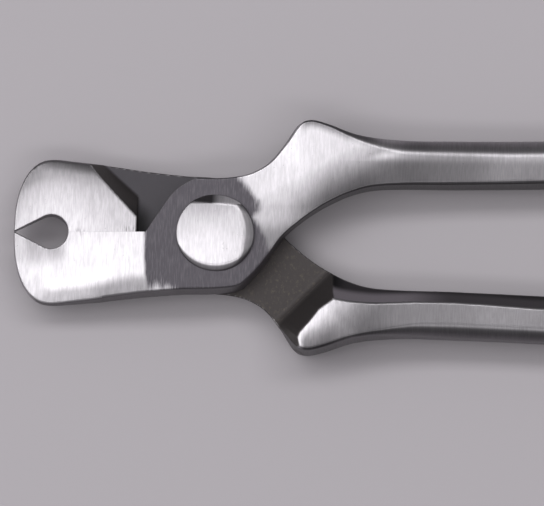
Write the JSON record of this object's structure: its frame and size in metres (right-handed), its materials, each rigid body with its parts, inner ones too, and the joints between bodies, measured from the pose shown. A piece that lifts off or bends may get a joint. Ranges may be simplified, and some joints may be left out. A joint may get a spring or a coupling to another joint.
{
  "type": "nail puller",
  "caption": "Farrier's nail puller: two forged half-lapped levers on a rivet, wedge jaws that close round a drop-shaped nail pocket, long slightly bowed handles.",
  "frame": {"origin": "on the rivet's axis, at the flat of the lower rivet head, which the tool lies on", "axes": "+X runs along the tool from the jaws to the handles, +Z is the pivot axis and points up, +Y is the side of the front lever's handle"},
  "size_m": [0.305, 0.0658, 0.018],
  "materials": {
    "lever_steel": "forged and ground steel with fine cross brushing",
    "back_lever_steel": "forged and ground steel with fine cross brushing",
    "rivet_steel": "ground steel rivet head, brushed across the tool"
  },
  "bodies": {
    "front_body": {"front_lever": "lever_steel", "pivot_rivet": "rivet_steel"},
    "back_body": {"back_lever": "back_lever_steel"}
  },
  "joints": [
    {"name": "pivot", "type": "hinge", "parent": "front_body", "child": "back_body", "pos_m": [0, 0, 0.009], "axis": [0, 0, -1], "range_deg": [0, 84]}
  ]
}
